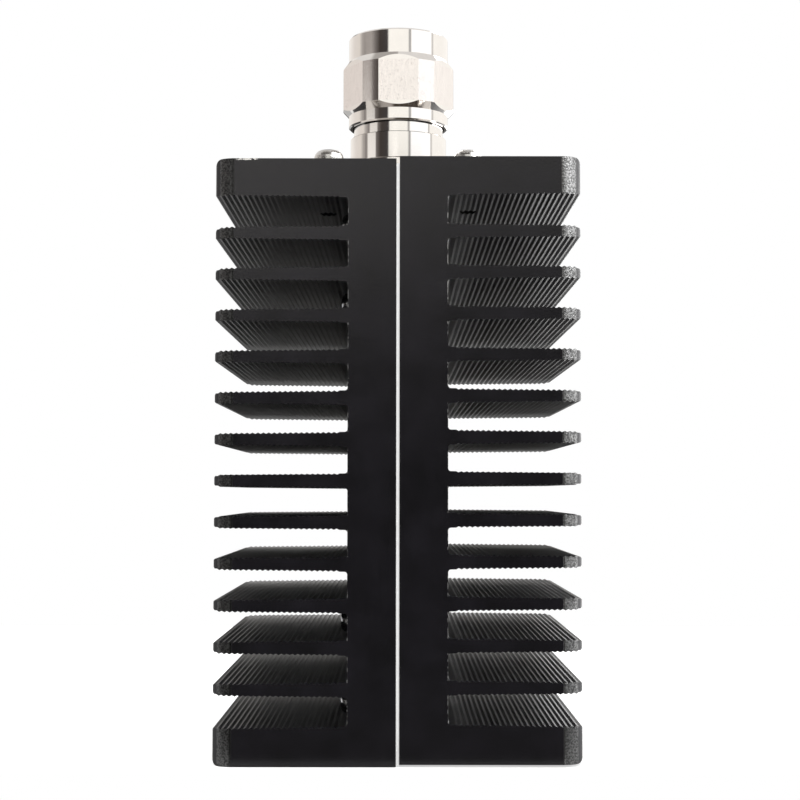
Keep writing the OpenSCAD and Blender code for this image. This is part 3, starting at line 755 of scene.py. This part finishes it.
def threaded_nut(source, name):
    """
    The CAD nut with its points merged and its plain bore swapped for a thread. On a grid of angle and
    height the wall's radius is the crest's plus the depth times a rounded tooth of the phase
    height / pitch - turns. The tooth fades out within one pitch of each end of the bore, where the grid
    meets the CAD's rings.
    """
    places = np.empty(3 * len(source.vertices), np.float32)
    source.vertices.foreach_get("co", places)
    corners = np.empty(len(source.loops), np.int32)
    source.loops.foreach_get("vertex_index", corners)
    keys = np.round(places.reshape(-1, 3).astype(float) / MERGE).astype(np.int64)
    points, merged = np.unique(keys, axis=0, return_inverse=True)
    points = points * MERGE
    faces = merged.reshape(-1)[corners].reshape(-1, 3)
    whole = (faces[:, 0] != faces[:, 1]) & (faces[:, 1] != faces[:, 2]) & (faces[:, 2] != faces[:, 0])
    on_bore = abs(np.hypot(points[:, 0], points[:, 1]) - THREAD_CREST) < FACE_DEPTH
    faces = faces[whole & ~on_bore[faces].all(axis=1)]

    # The bore's two end rings, in order of angle, and the rows of the thread between them
    bore = np.flatnonzero(on_bore)
    low, high = points[bore, 2].min(), points[bore, 2].max()
    bore = bore[np.argsort(np.arctan2(points[bore, 1], points[bore, 0]))]
    low_ring = bore[abs(points[bore, 2] - low) < 10 * MERGE]
    high_ring = bore[abs(points[bore, 2] - high) < 10 * MERGE]
    angle = np.arctan2(points[low_ring, 1], points[low_ring, 0])
    count = len(angle)
    rows = int(ROWS_PER_TURN * (high - low) / THREAD_PITCH)
    level = np.linspace(low, high, rows + 1)[1:-1, None]
    phase = level / THREAD_PITCH - angle[None, :] / (2 * np.pi)
    tooth = rise(TOOTH_GAIN * (1 - abs(2 * (phase % 1) - 1)) - TOOTH_OFFSET)
    fade = rise((level - low) / THREAD_PITCH) * rise((high - level) / THREAD_PITCH)
    radius = THREAD_CREST + THREAD_DEPTH * tooth * fade
    wall = np.stack([radius * np.cos(angle), radius * np.sin(angle), level + 0 * radius], axis=-1)
    first = len(points)
    inner = first + np.arange((rows - 1) * count).reshape(rows - 1, count)
    grid = np.vstack([low_ring, inner, high_ring])
    beside = np.roll(grid, -1, axis=1)
    quads = np.stack([grid[:-1], grid[1:], beside[1:], beside[:-1]], axis=-1).reshape(-1, 4)

    # The turned edges stay sharp, while the thread is shaded smooth
    mesh = bpy.data.meshes.new(name)
    mesh.from_pydata(np.vstack([points, wall.reshape(-1, 3)]).tolist(), [], faces.tolist() + quads.tolist())
    mesh.shade_smooth()
    mesh.set_sharp_from_angle(angle=SHARP_ANGLE)
    ends = np.empty(2 * len(mesh.edges), np.int32)
    mesh.edges.foreach_get("vertices", ends)
    sharp = np.empty(len(mesh.edges), bool)
    edge_flags = mesh.attributes["sharp_edge"].data
    edge_flags.foreach_get("value", sharp)
    edge_flags.foreach_set("value", sharp & (ends.reshape(-1, 2) < first).all(axis=1))
    piece = bpy.data.objects.new(name, mesh)
    bpy.context.scene.collection.objects.link(piece)
    return piece


nut = threaded_nut(nodes["coupling_nut"].data, "threaded_nut")
nut.data.materials.append(bright_nickel("nut_nickel", FLATS))
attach(nut, "nut")
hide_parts("coupling_nut")

# Retaining ring and gasket
# The snap ring is bent from phosphor bronze wire and holds the nut on the spigot. The gasket is moulded in
# red silicone rubber and lies round the outer contact.

BRONZE = (0.62, 0.45, 0.22)
WORN_BRONZE = (0.78, 0.60, 0.34)
GASKET_RED = (0.50, 0.09, 0.05)
DUSTY_RED = (0.42, 0.20, 0.15)

bronze = worked_metal("ring_bronze", BRONZE, WORN_BRONZE, rough=0.34, cells=600)
rubber = pale_insulation("gasket_rubber", GASKET_RED, DUSTY_RED, rough=0.55, cells=600, depth=0.00004)
dress(bronze, "nut_retaining_ring")
dress(rubber, "nut_gasket")

# Screws
# Cold headed steel pan heads with a cross recess. Four nickel plated ones hold the flange and two the
# resistor. Eight zinc plated ones clamp the halves together from the left half's channels.

STEEL = (0.74, 0.73, 0.71)
WORN_STEEL = (0.84, 0.83, 0.81)
ZINC = (0.86, 0.86, 0.87)
WORN_ZINC = (0.90, 0.89, 0.87)

flange_screws = ["flange_screw_%d" % number for number in range(1, 5)]
resistor_screws = ["resistor_screw_1", "resistor_screw_2"]
clamp_screws = ["clamp_screw_%d" % number for number in range(1, 9)]
steel = worked_metal("screw_steel", STEEL, WORN_STEEL, rough=0.28, cells=700, streak=(1, 1, 12))
zinc = worked_metal("screw_zinc", ZINC, WORN_ZINC, rough=0.17, cells=700, streak=(12, 1, 1))
dress(steel, *flange_screws, *resistor_screws)
dress(zinc, *clamp_screws)

bpy.context.scene.view_settings.view_transform = "Standard"
